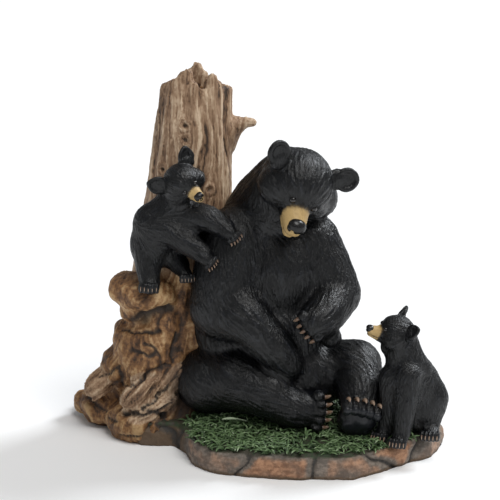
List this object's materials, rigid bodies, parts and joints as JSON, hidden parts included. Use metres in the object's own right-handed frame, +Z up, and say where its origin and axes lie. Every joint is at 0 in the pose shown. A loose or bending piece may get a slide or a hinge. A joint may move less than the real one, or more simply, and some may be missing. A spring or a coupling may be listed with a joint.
{
  "type": "bear and cubs figurine",
  "caption": "Cast resin figurine of a mother black bear seated against a hollow tree stump, a cub climbing to her shoulder and a cub sitting at her feet, on a grassy rock base.",
  "frame": {"origin": "middle of the bounding box in plan, on the flat underside that the figurine stands on", "axes": "+Z up along the tree stump; -Y is the front that the mother bear faces; +X to the viewer's right, where the sitting cub is"},
  "size_m": [0.2428, 0.1555, 0.2414],
  "materials": {
    "painted_resin": "hand-painted cast resin, satin, black-brown on average"
  },
  "bodies": {
    "root": {"bear_with_cubs_figurine": "painted_resin"}
  },
  "joints": []
}
